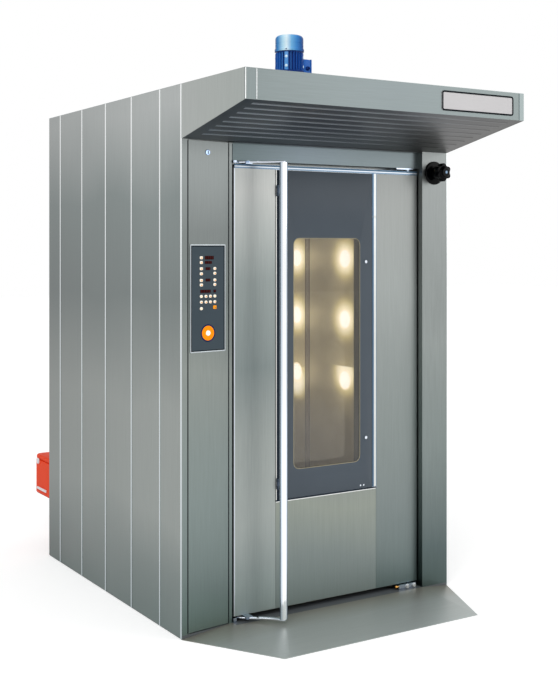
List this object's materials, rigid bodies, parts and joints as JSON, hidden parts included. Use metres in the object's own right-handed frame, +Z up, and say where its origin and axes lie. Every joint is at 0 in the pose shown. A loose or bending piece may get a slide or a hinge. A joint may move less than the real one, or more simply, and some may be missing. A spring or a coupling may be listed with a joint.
{
  "type": "rotating rack oven",
  "caption": "Tall insulated bakery oven with a windowed side-hinged door, front hood, ramp, control column, roof drive for a turning rack and a rear burner.",
  "frame": {"origin": "on the floor, on the vertical axis that the rack turns about", "axes": "+Z up, +Y from the door to the rear, +X to the right seen from the front"},
  "size_m": [1.427, 2.409, 2.629],
  "materials": {
    "panel_steel": "satin",
    "side_steel": "satin",
    "bright_steel": "polished",
    "stainless": "satin",
    "hood_dark": "satin",
    "frame_paint": "matte",
    "wool": "fibrous",
    "gear_plastic": "matte",
    "plate_white": "satin",
    "iron": "rough",
    "heat_steel": "heat tinted",
    "burner_red": "gloss",
    "white_plastic": "gloss",
    "black_plastic": "gloss",
    "motor_blue": "gloss",
    "motor_grey": "cast",
    "gearbox_blue": "painted",
    "belt_rubber": "matte",
    "seal_rubber": "matte",
    "outer_glass": "polished",
    "inner_glass": "polished",
    "lamp_glass": "polished",
    "keypad_film": "matte",
    "key_film": "matte"
  },
  "bodies": {
    "oven_body": {"base_slab": "frame_paint", "frame_posts": "frame_paint", "left_cladding": "side_steel", "right_cladding": "side_steel", "rear_cladding": "side_steel", "roof_cladding": "side_steel", "joint_strips": "bright_steel", "insulation": "wool", "chamber_lining": "stainless", "chamber_baffle": "stainless", "door_surround": "stainless", "lintel": "panel_steel", "right_pillar": "panel_steel", "column_frame": "panel_steel", "control_gear": "gear_plastic", "hood_shell": "side_steel", "hood_fascia": "side_steel", "hood_underside": "hood_dark", "hood_plate": "plate_white", "hinge_brackets": "bright_steel", "hex_bolts": "bright_steel", "entry_ramp": "panel_steel", "latch_keepers": "bright_steel", "lamp_housings": "frame_paint", "lamp_glasses": "lamp_glass", "steam_generator": "iron", "heat_exchanger": "heat_steel", "flue_pipe": "stainless", "burner_tube": "frame_paint", "burner_cover": "burner_red", "burner_fittings": "white_plastic", "fan_motor": "motor_grey", "motor_body": "motor_blue", "motor_cowl": "motor_blue", "drive_gearbox": "gearbox_blue", "spindle_bearing": "iron", "drive_belt": "belt_rubber", "steam_pipe": "stainless", "knob_rosette": "black_plastic"},
    "door": {"door_shell": "stainless", "door_insulation": "wool", "door_panels": "panel_steel", "door_trim": "bright_steel", "inner_glass": "inner_glass", "door_seal": "seal_rubber"},
    "door_handle": {"handle_bar": "bright_steel", "latch_levers": "bright_steel"},
    "glass_leaf": {"outer_glass": "outer_glass", "glass_fittings": "bright_steel"},
    "control_cover": {"cover_panel": "panel_steel", "keypad": "keypad_film", "keypad_keys": "key_film"},
    "lock": {"cover_lock": "bright_steel"},
    "button": {"start_button": "white_plastic"},
    "rack_carrier": {"spindle": "stainless", "driven_pulley": "iron", "rack_hook": "stainless"},
    "drive_wheel": {"drive_pulley": "iron"},
    "circulation_fan": {"fan_wheel": "stainless"},
    "damper": {"damper_control": "black_plastic"}
  },
  "joints": [
    {"name": "door_swing", "type": "hinge", "parent": "oven_body", "child": "door", "pos_m": [0.457, -0.6, 1], "axis": [0, 0, 1], "range_deg": [0, 105]},
    {"name": "handle_turn", "type": "hinge", "parent": "door", "child": "door_handle", "pos_m": [-0.443, -0.635, 1], "axis": [0, 0, -1], "range_deg": [0, 20]},
    {"name": "glass_swing", "type": "hinge", "parent": "door", "child": "glass_leaf", "pos_m": [-0.281, -0.6223, 1.2], "axis": [0, 0, -1], "range_deg": [0, 90]},
    {"name": "cover_swing", "type": "hinge", "parent": "oven_body", "child": "control_cover", "pos_m": [-0.73001, -0.63988, 1], "axis": [0, 0, -1], "range_deg": [0, 95]},
    {"name": "lock_turn", "type": "hinge", "parent": "control_cover", "child": "lock", "pos_m": [-0.63651, -0.63243, 2.022], "axis": [0.1324, -0.9912, 0], "range_deg": [0, 90]},
    {"name": "button_push", "type": "slide", "parent": "control_cover", "child": "button", "axis": [-0.1324, 0.9912, 0], "range_m": [0, 0.004], "stiffness_N_per_m": 500},
    {"name": "rack_turn", "type": "hinge", "parent": "oven_body", "child": "rack_carrier", "pos_m": [0, 0, 2.3], "axis": [0, 0, 1], "continuous": true},
    {"name": "drive_turn", "type": "hinge", "parent": "oven_body", "child": "drive_wheel", "pos_m": [0, -0.275, 2.34], "axis": [0, 0, 1], "continuous": true},
    {"name": "fan_turn", "type": "hinge", "parent": "oven_body", "child": "circulation_fan", "pos_m": [0, 0.7, 1.5], "axis": [0, 1, 0], "continuous": true},
    {"name": "damper_turn", "type": "hinge", "parent": "oven_body", "child": "damper", "pos_m": [0.577, -0.45, 1.975], "axis": [0, 1, 0], "range_deg": [0, 90]}
  ],
  "couplings": [
    {"joint": "drive_turn", "follows": "rack_turn", "ratio": 2.5}
  ]
}
